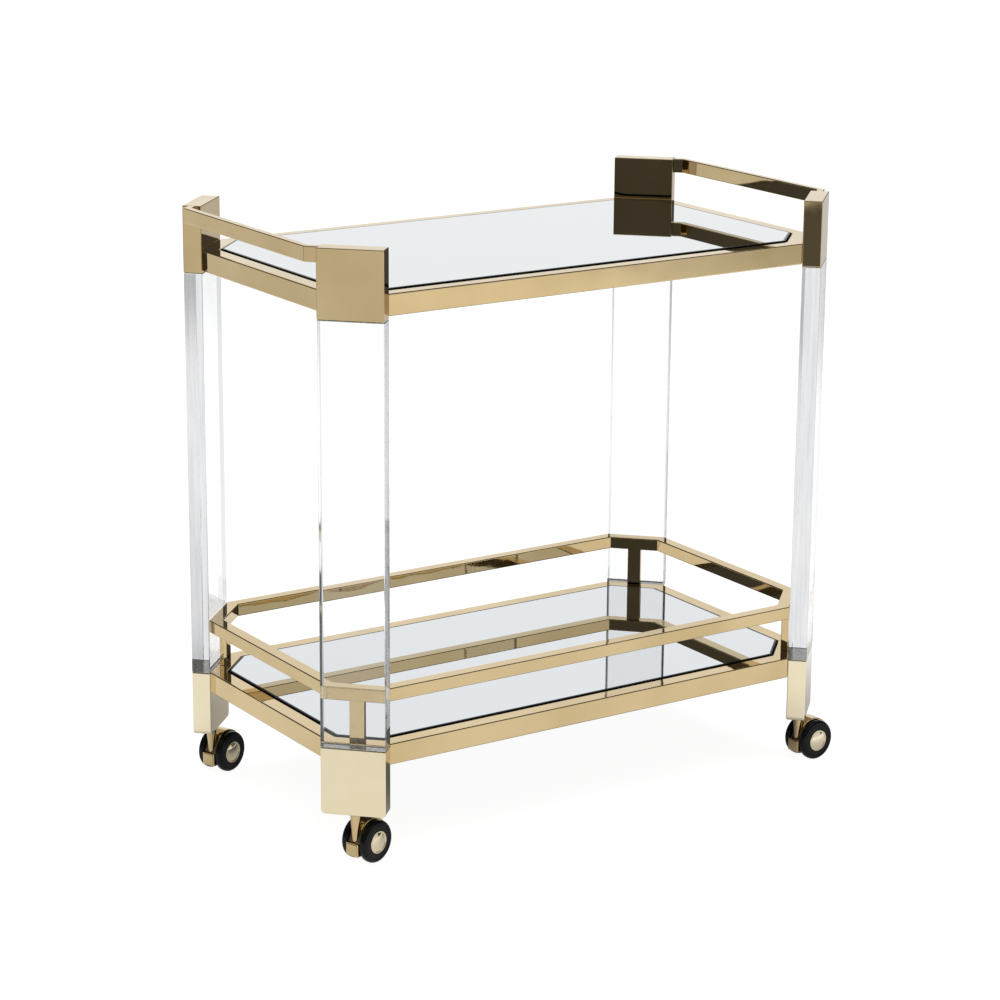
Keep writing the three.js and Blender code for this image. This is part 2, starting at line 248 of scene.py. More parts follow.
@dataclass(frozen=True)
class Axes:
    """A local frame: its origin and its three unit axes, as rows."""

    origin: np.ndarray
    rows: np.ndarray

    def place(self, local: np.ndarray) -> np.ndarray:
        """Returns local points, (..., 3), in the model's frame."""
        return self.origin + local @ self.rows

    def turn(self, local: np.ndarray) -> np.ndarray:
        """Returns local directions, (..., 3), in the model's frame."""
        return local @ self.rows


def slab(shell: Shell, outline: Outline, axes: Axes, depth: float, fillet: float, steps: int = 4,
         side_slot: int = 0, end_slot: int | None = None) -> Shell:
    """Adds a flat outline given a depth, with both its rims rounded over.

    The outline lies in the local X and Y, and the depth runs along local Z from 0. Near each rim, a quarter
    circle moves the section inwards by fillet * (1 - sin a) and along by fillet * (1 - cos a).

    Args:
        shell: Where the surface goes.
        outline: The closed outline at full size.
        axes: The local frame.
        depth: Thickness along local Z.
        fillet: Radius of both rims.
        steps: Facets over each rim.
        side_slot: Material slot of the sides and rims; the two flat faces are in slot 0.
        end_slot: Material slot of the sides that face along local Y, if they differ.

    Returns:
        The shell.
    """
    angle = np.linspace(0, QUARTER_TURN, steps + 1)
    inwards = fillet * (1 - np.sin(angle))
    along = fillet * (1 - np.cos(angle))
    inwards = np.concatenate([inwards, inwards[::-1]])[:, None, None]
    height = np.concatenate([along, depth - along[::-1]])
    tilt = np.concatenate([-np.cos(angle), np.cos(angle[::-1])])
    flat = outline.points[None] - outline.normals[None] * inwards
    rows, columns = flat.shape[:2]
    points = np.concatenate([flat, np.broadcast_to(height[:, None, None], (rows, columns, 1))], axis=2)
    side = np.sqrt(np.clip(1 - tilt**2, 0, 1))[:, None, None]
    normals = np.concatenate(
        [outline.normals[None] * side, np.broadcast_to(tilt[:, None, None], (rows, columns, 1))], axis=2
    )
    slots = side_slot
    if end_slot is not None:
        slots = np.where(np.abs(outline.normals[:, 1]) > HALF_ROOT, end_slot, side_slot)
    return shell.add(axes.place(points), axes.turn(normals), slot=slots)


def turned(shell: Shell, profile: Outline, axes: Axes, facets: int, ring: bool = False) -> Shell:
    """Adds a turned surface: each profile point (radius, height) goes once round local Z.

    Args:
        shell: Where the surface goes.
        profile: The profile. An open one ends in two small flat caps next to the axis.
        axes: The local frame.
        facets: Facets round the axis.
        ring: Whether the profile closes on itself.

    Returns:
        The shell.
    """
    angle = np.linspace(0, 2 * math.pi, facets, endpoint=False)
    spoke = np.stack([np.cos(angle), np.sin(angle), np.zeros(facets)], axis=1)
    rise = np.array([0.0, 0.0, 1.0])
    points = profile.points[:, :1, None] * spoke[None] + profile.points[:, 1:, None] * rise
    normals = profile.normals[:, :1, None] * spoke[None] + profile.normals[:, 1:, None] * rise
    return shell.add(axes.place(points), axes.turn(normals), wrap=ring)


def mitred_tube(shell: Shell, path: np.ndarray, section: Outline, closed: bool, arris: float) -> Shell:
    """Adds a straight-sided tube carried along a path in plan, mitred at every bend.

    The section's first axis runs inwards from the path and its second axis is the height. At a bend, an
    inward step a moves along the mitre by a * (n1 + n2) / (1 + n1 . n2), where n1 and n2 are the outward
    normals of the two runs. Each bend is two rows, arris apart, so that its edge shades as a narrow round.

    Args:
        shell: Where the surface goes.
        path: Plan points in order, with the outside on the right-hand side of the walk.
        section: The section, as (inwards, height) points.
        closed: Whether the path closes on itself.
        arris: Width of the softened edge at each bend.

    Returns:
        The shell.
    """
    run = unit(np.roll(path, -1, axis=0) - path)
    before, after = np.roll(run, 1, axis=0), run.copy()
    if not closed:
        before[0], after[-1] = after[0], before[-1]
    out_before = np.stack([before[:, 1], -before[:, 0]], axis=1)
    out_after = np.stack([after[:, 1], -after[:, 0]], axis=1)
    mitre = (out_before + out_after) / (1 + (out_before * out_after).sum(1, keepdims=True))
    shift = np.full((len(path), 1), arris / 2)
    if not closed:
        shift[[0, -1]] = 0
    origin = np.stack([path - before * shift, path + after * shift], axis=1).reshape(-1, 2)
    outward = np.stack([out_before, out_after], axis=1).reshape(-1, 2)
    mitres = np.repeat(mitre, 2, axis=0)
    if not closed:
        origin, outward, mitres = origin[1:-1], outward[1:-1], mitres[1:-1]
    inwards, height = section.points.T
    plan = origin[:, None, :] - mitres[:, None, :] * inwards[None, :, None]
    level = np.broadcast_to(height[None, :, None], (*plan.shape[:2], 1))
    flat = -outward[:, None, :] * section.normals[None, :, :1]
    upright = np.broadcast_to(section.normals[None, :, 1:], (*plan.shape[:2], 1))
    points = np.concatenate([plan, level], axis=2)
    normals = np.concatenate([flat, upright], axis=2)
    return shell.add(points, normals, wrap=closed)


def across_tube(width: float, low: float, high: float, radius: float) -> Outline:
    """Returns a rounded rectangular tube section as (inwards, height) points, from 0 to width inwards."""
    return rounded([(0, low), (width, low), (width, high), (0, high)], radius)


# ---- Shared surface effects ------------------------------------------------------------------------


class Nodes:
    """A short way to lay out and join shader nodes in one tree."""

    def __init__(self, tree: bpy.types.NodeTree) -> None:
        """Keeps the tree."""
        self.tree = tree

    def add(self, kind: str, **settings: object) -> bpy.types.Node:
        """Adds a node of that kind; settings are its properties."""
        node = self.tree.nodes.new(kind)
        for key, value in settings.items():
            setattr(node, key, value)
        return node

    def join(self, source: bpy.types.NodeSocket, target: bpy.types.NodeSocket) -> None:
        """Links an output to an input."""
        self.tree.links.new(source, target)

    def math(self, operation: str, first: object, second: object = None) -> bpy.types.NodeSocket:
        """Adds a Math node on numbers or sockets and returns its output."""
        node = self.add("ShaderNodeMath", operation=operation)
        for socket, value in zip(node.inputs, (first, second)):
            self.feed(socket, value)
        return node.outputs[0]

    def vector(self, operation: str, first: object, second: object = None) -> bpy.types.NodeSocket:
        """Adds a Vector Math node on vectors or sockets and returns its output, a number if it gives one."""
        node = self.add("ShaderNodeVectorMath", operation=operation)
        for socket, value in zip(node.inputs, (first, second)):
            self.feed(socket, value)
        return node.outputs["Value" if operation in ("LENGTH", "DOT_PRODUCT") else "Vector"]

    def split(self, vector: bpy.types.NodeSocket) -> bpy.types.NodeOutputs:
        """Returns a vector's parts by the names X, Y and Z."""
        node = self.add("ShaderNodeSeparateXYZ")
        self.join(vector, node.inputs[0])
        return node.outputs

    def feed(self, socket: bpy.types.NodeSocket, value: object) -> None:
        """Links a socket into an input, or sets the input to a plain value."""
        if isinstance(value, bpy.types.NodeSocket):
            self.join(value, socket)
        elif value is not None:
            socket.default_value = value

    def noise(self, vector: bpy.types.NodeSocket, scale: object, detail: float, roughness: float = 0.5,
              distortion: float = 0.0) -> bpy.types.NodeSocket:
        """Adds a noise texture and returns its value."""
        node = self.add("ShaderNodeTexNoise")
        self.join(vector, node.inputs["Vector"])
        self.feed(node.inputs["Scale"], scale)
        node.inputs["Detail"].default_value = detail
        node.inputs["Roughness"].default_value = roughness
        node.inputs["Distortion"].default_value = distortion
        return node.outputs["Fac"]

    def between(self, value: bpy.types.NodeSocket, low: float, high: float) -> bpy.types.NodeSocket:
        """Returns the value's smooth rise from 0 at low to 1 at high."""
        node = self.add("ShaderNodeMapRange", interpolation_type="SMOOTHSTEP")
        self.join(value, node.inputs["Value"])
        node.inputs["From Min"].default_value = low
        node.inputs["From Max"].default_value = high
        return node.outputs["Result"]


class Effect(Enum):
    """Surface effects that several finishes share, each made as one node group."""

    HANDLING = "handling_marks"
    GRAIN = "directional_grain"
    WAVINESS = "polished_waviness"
    DUST = "settled_dust"


def new_group(effect: Effect, numbers: dict[str, float], results: tuple[str, ...]) -> tuple:
    """Starts a shader node group.

    Args:
        effect: The effect that the group makes.
        numbers: Its number inputs with their defaults.
        results: The names of its number outputs.

    Returns:
        The group, its node helper, its input node and its output node.
    """
    group = bpy.data.node_groups.new(effect.value, "ShaderNodeTree")
    group.interface.new_socket("Vector", in_out="INPUT", socket_type="NodeSocketVector")
    for name, value in numbers.items():
        number = group.interface.new_socket(name, in_out="INPUT", socket_type="NodeSocketFloat")
        number.default_value = value
    for name in results:
        group.interface.new_socket(name, in_out="OUTPUT", socket_type="NodeSocketFloat")
    nodes = Nodes(group)
    return group, nodes, nodes.add("NodeGroupInput"), nodes.add("NodeGroupOutput")


def handling_marks() -> bpy.types.NodeTree:
    """Faint smears left by wiping and handling: a broad patchy mask times a finer streaked one."""
    group, nodes, given, made = new_group(Effect.HANDLING, {"Scale": 9.0, "Amount": 0.04}, ("Roughness",))
    broad = nodes.noise(given.outputs["Vector"], given.outputs["Scale"], 3.0, 0.55, 0.6)
    finer = nodes.math("MULTIPLY", given.outputs["Scale"], 7.0)
    fine = nodes.noise(given.outputs["Vector"], finer, 5.0, 0.6)
    patch = nodes.between(broad, 0.42, 0.72)
    streak = nodes.between(fine, 0.35, 0.75)
    smear = nodes.math("MULTIPLY", patch, streak)
    nodes.join(nodes.math("MULTIPLY", smear, given.outputs["Amount"]), made.inputs["Roughness"])
    return group


def directional_grain() -> bpy.types.NodeTree:
    """Grain drawn out along one axis: noise on coordinates that are each scaled by their own factor."""
    group, nodes, given, made = new_group(
        Effect.GRAIN, {"Scale": 400.0, "Along X": 1.0, "Along Y": 1.0, "Along Z": 1.0}, ("Height",)
    )
    split = nodes.split(given.outputs["Vector"])
    joined = nodes.add("ShaderNodeCombineXYZ")
    for axis in "XYZ":
        scaled = nodes.math("MULTIPLY", split[axis], given.outputs[f"Along {axis}"])
        nodes.join(scaled, joined.inputs[axis])
    nodes.join(nodes.noise(joined.outputs[0], given.outputs["Scale"], 6.0, 0.6), made.inputs["Height"])
    return group


def polished_waviness() -> bpy.types.NodeTree:
    """The slight unevenness of buffed sheet: a slow swell plus a much fainter ripple."""
    group, nodes, given, made = new_group(Effect.WAVINESS, {"Scale": 14.0, "Ripple": 0.05}, ("Height",))
    swell = nodes.noise(given.outputs["Vector"], given.outputs["Scale"], 1.0, 0.4)
    ripple = nodes.noise(given.outputs["Vector"], nodes.math("MULTIPLY", given.outputs["Scale"], 22.0), 2.0)
    faint = nodes.math("MULTIPLY", ripple, given.outputs["Ripple"])
    nodes.join(nodes.math("ADD", swell, faint), made.inputs["Height"])
    return group


def settled_dust() -> bpy.types.NodeTree:
    """Dust on what faces up: the normal's upward part, sharpened, times fine specks."""
    group, nodes, given, made = new_group(Effect.DUST, {"Scale": 900.0, "Amount": 0.02}, ("Mask",))
    facing = nodes.split(nodes.add("ShaderNodeNewGeometry").outputs["Normal"])
    up = nodes.between(facing["Z"], 0.6, 0.98)
    specks = nodes.noise(given.outputs["Vector"], given.outputs["Scale"], 2.0, 0.7)
    speck = nodes.between(specks, 0.58, 0.72)
    lying = nodes.math("MULTIPLY", up, speck)
    nodes.join(nodes.math("MULTIPLY", lying, given.outputs["Amount"]), made.inputs["Mask"])
    return group


EFFECT_MAKERS = {
    Effect.HANDLING: handling_marks,
    Effect.GRAIN: directional_grain,
    Effect.WAVINESS: polished_waviness,
    Effect.DUST: settled_dust,
}


# ---- Finishes --------------------------------------------------------------------------------------


class Dresser:
    """Builds materials around one Principled shader, with the shared effects placed by name."""

    def __init__(self, name: str) -> None:
        """Starts a material with its shader and its own object coordinates."""
        self.material = bpy.data.materials.new(self.full_name(name))
        self.material.use_nodes = True
        self.nodes = Nodes(self.material.node_tree)
        self.shader = self.material.node_tree.nodes["Principled BSDF"]
        self.place = self.nodes.add("ShaderNodeTexCoord").outputs["Object"]

    @staticmethod
    def full_name(name: str) -> str:
        """Returns the material's name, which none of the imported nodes' plain materials has."""
        return f"{name}_finish"

    def effect(self, effect: Effect, result: str, **inputs: float) -> bpy.types.NodeSocket:
        """Places a shared effect with its own values and returns one of its outputs."""
        group = bpy.data.node_groups.get(effect.value) or EFFECT_MAKERS[effect]()
        node = self.nodes.add("ShaderNodeGroup", node_tree=group)
        self.nodes.join(self.place, node.inputs["Vector"])
        for name, value in inputs.items():
            node.inputs[name.replace("_", " ")].default_value = value
        return node.outputs[result]

    def shade(self, low: tuple, high: tuple, share: bpy.types.NodeSocket) -> None:
        """Runs the base colour from low to high by a share that changes over the surface."""
        mix = self.nodes.add("ShaderNodeMix", data_type="RGBA")
        self.nodes.join(share, mix.inputs[0])
        mix.inputs[6].default_value = (*low, 1)
        mix.inputs[7].default_value = (*high, 1)
        self.nodes.join(mix.outputs[2], self.shader.inputs["Base Color"])

    def roughness(self, least: float, extra: bpy.types.NodeSocket) -> None:
        """Sets the roughness to a least value plus an extra that changes over the surface."""
        self.nodes.join(self.nodes.math("ADD", extra, least), self.shader.inputs["Roughness"])

    def bump(self, height: bpy.types.NodeSocket, distance: float, strength: float = 1.0) -> None:
        """Leads a height, in units of distance, to the shader's normal."""
        bump = self.nodes.add("ShaderNodeBump")
        bump.inputs["Strength"].default_value = strength
        bump.inputs["Distance"].default_value = distance
        self.nodes.join(height, bump.inputs["Height"])
        self.nodes.join(bump.outputs["Normal"], self.shader.inputs["Normal"])

    def constant(self, **values: float) -> None:
        """Sets plain numbers or colours on the shader's own sockets."""
        for name, value in values.items():
            self.shader.inputs[name.replace("_", " ")].default_value = value


@dataclass(frozen=True)
class Recipe:
    """How a finish is made up. Each kind of finish fills in dress."""

    name: str

    def make(self) -> bpy.types.Material:
        """Returns the finish's material."""
        dresser = Dresser(self.name)
        self.dress(dresser)
        return dresser.material

    def dress(self, dresser: Dresser) -> None:
        """Sets out the shader."""
        raise NotImplementedError


@dataclass(frozen=True)
class PolishedGold(Recipe):
    """Buffed gold plate: almost a mirror, with a slow swell and faint wipe marks."""

    name: str = "polished_gold"
    deep: tuple = (0.60, 0.455, 0.235)
    light: tuple = (0.68, 0.53, 0.295)
    least_roughness: float = 0.022
    swell: float = 0.0011

    def dress(self, dresser: Dresser) -> None:
        """Sets out the shader."""
        cloud = dresser.nodes.noise(dresser.place, 7.0, 3.0)
        dresser.shade(self.deep, self.light, dresser.nodes.between(cloud, 0.3, 0.7))
        dresser.roughness(self.least_roughness, dresser.effect(Effect.HANDLING, "Roughness", Amount=0.05))
        waves = dresser.effect(Effect.WAVINESS, "Height", Scale=16.0, Ripple=0.01)
        dresser.bump(waves, distance=self.swell, strength=0.35)
        dresser.constant(Metallic=1.0)


@dataclass(frozen=True)
class Mirror(Recipe):
    """Silvered glass: a clean reflection, the faintest smears and a little dust."""

    name: str = "mirror_glass"
    silver: tuple = (0.72, 0.75, 0.77)
    dusty: tuple = (0.69, 0.71, 0.72)

    def dress(self, dresser: Dresser) -> None:
        """Sets out the shader."""
        dresser.shade(self.silver, self.dusty, dresser.effect(Effect.DUST, "Mask", Amount=0.5))
        dresser.roughness(0.012, dresser.effect(Effect.HANDLING, "Roughness", Scale=5.0, Amount=0.03))
        dresser.constant(Metallic=1.0)


@dataclass(frozen=True)
class MirrorEdge(Recipe):
    """The polished rim of the mirror glass, which looks into its dark painted back."""

    name: str = "mirror_edge"
    near: tuple = (0.003, 0.004, 0.004)
    far: tuple = (0.009, 0.012, 0.011)

    def dress(self, dresser: Dresser) -> None:
        """Sets out the shader."""
        dresser.shade(self.near, self.far, dresser.nodes.noise(dresser.place, 60.0, 3.0))
        dresser.roughness(0.08, dresser.effect(Effect.HANDLING, "Roughness", Scale=20.0, Amount=0.1))
        dresser.constant(IOR=1.52, Specular_IOR_Level=0.08)


@dataclass(frozen=True)
class ClearAcrylic(Recipe):
    """Cast acrylic: clear, with polished faces that carry hairline wipe marks."""

    name: str = "clear_acrylic"
    clear: tuple = (0.975, 0.98, 0.985)
    cooler: tuple = (0.955, 0.965, 0.972)

    def dress(self, dresser: Dresser) -> None:
        """Sets out the shader."""
        dresser.shade(self.clear, self.cooler, dresser.nodes.noise(dresser.place, 3.0, 2.0))
        dresser.roughness(0.0, dresser.effect(Effect.HANDLING, "Roughness", Scale=14.0, Amount=0.05))
        dresser.constant(Transmission_Weight=1.0, IOR=1.49)


@dataclass(frozen=True)
class AcrylicEdge(Recipe):
    """The sawn and polished edges of the acrylic, which pass less light than its faces and blur it."""

    name: str = "acrylic_edge"
    pale: tuple = (0.78, 0.79, 0.80)
    grey: tuple = (0.60, 0.61, 0.625)
    passing: float = 1.0

    def dress(self, dresser: Dresser) -> None:
        """Sets out the shader."""
        streak = dresser.effect(Effect.GRAIN, "Height", Scale=220.0, Along_Z=0.05)
        dresser.shade(self.pale, self.grey, dresser.nodes.between(streak, 0.3, 0.8))
        dresser.roughness(0.02, dresser.nodes.math("MULTIPLY", streak, 0.08))
        dresser.constant(Transmission_Weight=self.passing, IOR=1.49)


@dataclass(frozen=True)
class BlackBoard(Recipe):
    """Painted fibreboard: matt black with a felted texture."""

    name: str = "black_board"
    low: tuple = (0.012, 0.011, 0.010)
    high: tuple = (0.030, 0.028, 0.025)

    def dress(self, dresser: Dresser) -> None:
        """Sets out the shader."""
        fibre = dresser.effect(Effect.GRAIN, "Height", Scale=260.0, Along_X=0.25, Along_Y=1.0, Along_Z=1.0)
        dresser.shade(self.low, self.high, fibre)
        dresser.roughness(0.55, dresser.nodes.math("MULTIPLY", fibre, 0.3))
        dresser.bump(fibre, distance=0.0003, strength=0.6)


@dataclass(frozen=True)
class BlackTyre(Recipe):
    """Moulded tread: satin black with a fine grain and a little dust."""

    name: str = "black_tyre"
    black: tuple = (0.004, 0.004, 0.005)
    grey: tuple = (0.012, 0.012, 0.014)

    def dress(self, dresser: Dresser) -> None:
        """Sets out the shader."""
        grain = dresser.effect(Effect.GRAIN, "Height", Scale=1500.0)
        dresser.shade(self.black, self.grey, dresser.nodes.between(grain, 0.35, 0.85))
        dresser.roughness(0.20, dresser.effect(Effect.HANDLING, "Roughness", Scale=60.0, Amount=0.3))
        dresser.bump(grain, distance=0.00012, strength=0.5)
        dresser.constant(Specular_IOR_Level=0.15)


@dataclass(frozen=True)
class PlainSteel(Recipe):
    """Turned steel: fine rings left by the tool and a soft sheen."""

    name: str = "plain_steel"
    low: tuple = (0.46, 0.46, 0.45)
    high: tuple = (0.62, 0.62, 0.61)

    def dress(self, dresser: Dresser) -> None:
        """Sets out the shader."""
        rings = dresser.effect(Effect.GRAIN, "Height", Scale=900.0, Along_X=0.1, Along_Y=0.1, Along_Z=2.5)
        dresser.shade(self.low, self.high, rings)
        dresser.roughness(0.24, dresser.nodes.math("MULTIPLY", rings, 0.18))
        dresser.bump(rings, distance=0.00006, strength=0.5)
        dresser.constant(Metallic=1.0)


PALE_PLATE = PolishedGold(
    "pale_gold", deep=(0.80, 0.70, 0.48), light=(0.88, 0.78, 0.57), least_roughness=0.03, swell=0.0008
)
# The leg's ends, where it meets the blocks, are opaque and darker grey: painted shade for where the leg
# rests against a block.
LEG_END_SHADE = AcrylicEdge("acrylic_end", pale=(0.62, 0.62, 0.56), grey=(0.34, 0.34, 0.30), passing=0.0)


class Finish(Enum):
    """The cart's finishes, each with the record's slot that it stands for and its recipe."""

    GOLD = ("polished_gold", PolishedGold())
    PALE_GOLD = ("pale_gold", PALE_PLATE)
    MIRROR = ("mirror", Mirror())
    MIRROR_EDGE = ("mirror", MirrorEdge())
    BOARD = ("black_board", BlackBoard())
    ACRYLIC = ("clear_acrylic", ClearAcrylic())
    ACRYLIC_EDGE = ("clear_acrylic", AcrylicEdge())
    # The leg's ends: painted shade where the leg meets the blocks.
    ACRYLIC_END = ("clear_acrylic", LEG_END_SHADE)
    TYRE = ("black_tyre", BlackTyre())
    STEEL = ("plain_steel", PlainSteel())

    @property
    def slot(self) -> str:
        """The record's material slot."""
        return self.value[0]

    def material(self) -> bpy.types.Material:
        """Returns the finish's material, made on first use."""
        recipe = self.value[1]
        return bpy.data.materials.get(Dresser.full_name(recipe.name)) or recipe.make()


def fit(shell: Shell, node: str, finish: Finish, *more: Finish) -> bpy.types.Object:
    """Builds the piece that stands for a node and rides on that node's body.

    Args:
        shell: The piece's surfaces.
        node: The node that it replaces, which also gives its name.
        finish: The finish of slot 0.
        more: The finishes of the slots after it.

    Returns:
        The piece.
    """
    piece = shell.build(f"{node}_finished", [each.material() for each in (finish, *more)])
    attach(piece, frame["nodes"][node]["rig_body"])
    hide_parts(node)
    log.info("%s: %d faces in %s", piece.name, len(piece.data.polygons), finish.slot)
    return piece


# ---- Corners and plan ------------------------------------------------------------------------------


class Corner(Enum):
    """The four corners of the cart, with their sides along X and Y."""

    FRONT_LEFT = (-1, -1)
    FRONT_RIGHT = (1, -1)
    BACK_LEFT = (-1, 1)
    BACK_RIGHT = (1, 1)

    @property
    def label(self) -> str:
        """The corner's name as the nodes spell it."""
        return self.name.lower()

    @property
    def outward(self) -> np.ndarray:
        """Unit direction out of the corner, at 45 degrees in plan."""
        return np.array([*self.value, 0.0]) * HALF_ROOT

    def axes(self, node: str, height: float) -> Axes:
        """Returns a frame on a node's plan centre: X across the corner, Y up and Z outwards."""
        low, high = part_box(node)
        middle = np.array([(low.x + high.x) / 2, (low.y + high.y) / 2, height])
        up = np.array([0.0, 0.0, 1.0])
        return Axes(middle, np.stack([np.cross(up, self.outward), up, self.outward]))


@dataclass(frozen=True)
class TrayPlan:
    """Plan of a tray: a rectangle with its corners cut off at 45 degrees to the width of a block."""

    half_width: float
    half_depth: float
    cut: float

    @staticmethod
    def of(node: str, block_width: float) -> "TrayPlan":
        """Reads the outer sizes from a ring-shaped node."""
        _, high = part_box(node)
        return TrayPlan(high.x, high.y, block_width * HALF_ROOT)

    def corners(self, inset: float = 0.0) -> np.ndarray:
        """Returns the eight plan corners, anticlockwise, with every side moved inwards by inset."""
        x, y = self.half_width - inset, self.half_depth - inset
        cut = self.cut - inset * (2 - math.sqrt(2))
        return np.array([
            (x, -y + cut), (x, y - cut), (x - cut, y), (-x + cut, y),
            (-x, y - cut), (-x, -y + cut), (-x + cut, -y), (x - cut, -y),
        ])


# ---- Sub-assemblies --------------------------------------------------------------------------------


@dataclass(frozen=True)
class Tray:
    """One tray: a mitred tube frame with an inner ledge, a backing board and a mirror."""

    level: str
    block_width: float = 0.085
    tube_width: float = 0.022
    tube_edge: float = 0.0017
    bend_edge: float = 0.0009
    ledge_width: float = 0.012
    ledge_thickness: float = 0.002
    mirror_margin: float = 0.0015
    board_margin: float = 0.0006
    board_corner: float = 0.002
    board_edge: float = 0.0004
    fit_gap: float = 0.0003
    glass_arris: float = 0.0008
    dark_rim: float = 0.0034

    def build(self) -> None:
        """Builds and dresses the frame, the board and the mirror."""
        plan = TrayPlan.of(f"{self.level}_frame", self.block_width)
        self.build_frame(plan)
        self.build_board(plan)
        self.build_mirror(plan)

    def build_frame(self, plan: TrayPlan) -> None:
        """The tube section carried round the tray's outline, and the ledge round the inside of it."""
        low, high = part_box(f"{self.level}_frame")
        board_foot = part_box(f"{self.level}_backing")[0].z
        shell = Shell()
        tube = across_tube(self.tube_width, low.z, high.z, self.tube_edge)
        mitred_tube(shell, plan.corners(), tube, True, self.bend_edge)
        ledge_top = board_foot - self.fit_gap
        ledge = across_tube(self.ledge_width, ledge_top - self.ledge_thickness, ledge_top, self.fit_gap)
        mitred_tube(shell, plan.corners(self.tube_width), ledge, True, self.bend_edge)
        fit(shell, f"{self.level}_frame", Finish.GOLD)

    def build_board(self, plan: TrayPlan) -> None:
        """The backing board, a flat plate with barely broken edges."""
        node = f"{self.level}_backing"
        low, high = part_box(node)
        outline = rounded(plan.corners(self.tube_width + self.board_margin), self.board_corner, 3)
        axes = Axes(np.array([0.0, 0.0, low.z]), np.eye(3))
        fit(slab(Shell(), outline, axes, high.z - low.z, self.board_edge, 2), node, Finish.BOARD)

    def build_mirror(self, plan: TrayPlan) -> None:
        """The mirror: silvered on top, inside a dark rim that runs down a polished arris to the edge."""
        low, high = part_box(f"{self.level}_mirror")
        angle = np.linspace(0, QUARTER_TURN, 5)
        arris = self.glass_arris
        inwards = np.concatenate([[arris, 0.0], arris * (1 - np.cos(angle)), [self.dark_rim]])
        height = np.concatenate([[low.z, low.z + arris], high.z - arris * (1 - np.sin(angle)), [high.z]])
        edge = self.tube_width + self.mirror_margin
        rings = np.stack([plan.corners(edge + step) for step in inwards])
        level = np.broadcast_to(height[:, None, None], (*rings.shape[:2], 1))
        points = np.concatenate([rings, level], axis=2)
        shell = Shell().add(points, np.zeros_like(points), slot=1, cap_slots=(1, 0), flat=True)
        fit(shell, f"{self.level}_mirror", Finish.MIRROR, Finish.MIRROR_EDGE)


@dataclass(frozen=True)
class Gallery:
    """The rail round the lower tray and its four posts."""

    block_width: float = 0.085
    tube_width: float = 0.018
    tube_edge: float = 0.0015
    bend_edge: float = 0.0009
    post_width: float = 0.0195
    post_thickness: float = 0.010
    post_edge: float = 0.0008

    def build(self) -> None:
        """Builds the rail and the posts."""
        low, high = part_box("gallery_rail")
        plan = TrayPlan.of("gallery_rail", self.block_width)
        section = across_tube(self.tube_width, low.z, high.z, self.tube_edge)
        rail = mitred_tube(Shell(), plan.corners(), section, True, self.bend_edge)
        fit(rail, "gallery_rail", Finish.GOLD)
        for corner in Corner:
            self.build_post(corner)

    def build_post(self, corner: Corner) -> None:
        """One post, a flat bar with softened edges, standing across its corner."""
        node = f"gallery_post_{corner.label}"
        low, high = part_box(node)
        upright = corner.axes(node, low.z)
        axes = Axes(upright.origin, upright.rows[[2, 0, 1]])
        outline = rectangle(self.post_thickness, self.post_width, self.post_edge)
        fit(slab(Shell(), outline, axes, high.z - low.z, self.post_edge / 2), node, Finish.GOLD)


@dataclass(frozen=True)
class CornerColumn:
    """One corner: the foot block, the clear leg on it and the upper block on that."""

    corner: Corner
    width: float = 0.085
    thickness: float = 0.0254
    arris: float = 0.0011
    corner_radius: float = 0.00132
    foot_radius: float = 0.006

    def build(self) -> None:
        """Builds the three slabs."""
        self.stand(f"foot_block_{self.corner.label}", Finish.PALE_GOLD, self.foot_radius)
        edges = (Finish.ACRYLIC_EDGE, Finish.ACRYLIC_END)
        self.stand(f"acrylic_leg_{self.corner.label}", Finish.ACRYLIC, self.corner_radius, *edges)
        self.stand(f"upper_block_{self.corner.label}", Finish.GOLD, self.corner_radius)

    def stand(self, node: str, finish: Finish, foot_radius: float, *edges: Finish) -> None:
        """One slab across the corner, its outline upright.

        Args:
            node: The node that it stands for.
            finish: The finish of its two broad faces.
            foot_radius: Radius of the outline's lower corners.
            edges: The finishes of its sides and of its ends, the same as the faces if left out.
        """
        low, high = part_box(node)
        x, tall = self.width / 2, high.z - low.z
        top_radius = self.corner_radius
        outline = softened(
            [(-x, 0, foot_radius), (x, 0, foot_radius), (x, tall, top_radius), (-x, tall, top_radius)], 5
        )
        upright = self.corner.axes(node, low.z)
        axes = Axes(upright.origin - self.corner.outward * self.thickness / 2, upright.rows)
        slots = (1, 2) if edges else (0, None)
        block = slab(Shell(), outline, axes, self.thickness, self.arris, 4, *slots)
        fit(block, node, finish, *edges)


class End(Enum):
    """The two ends of the cart."""

    LEFT = -1
    RIGHT = 1


@dataclass(frozen=True)
class Handle:
    """One handle: two short legs that stand off the blocks and a long run between their bends."""

    end: End
    tube_width: float = 0.010
    tube_edge: float = 0.0013
    bend_edge: float = 0.0012
    leg_length: float = 0.017

    def build(self) -> None:
        """Builds the handle's tube along its plan, which walks with the outside on its right."""
        node = f"handle_{self.end.name.lower()}"
        low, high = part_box(node)
        side = self.end.value
        outer = high.x if side > 0 else low.x
        reach = self.leg_length * HALF_ROOT
        half_run = high.y - reach
        foot = outer - side * reach
        walk = [(foot, -high.y), (outer, -half_run), (outer, half_run), (foot, high.y)]
        plan = np.array(walk) * (1, side)
        section = across_tube(self.tube_width, low.z, high.z, self.tube_edge)
        fit(mitred_tube(Shell(), plan, section, False, self.bend_edge), node, Finish.GOLD)


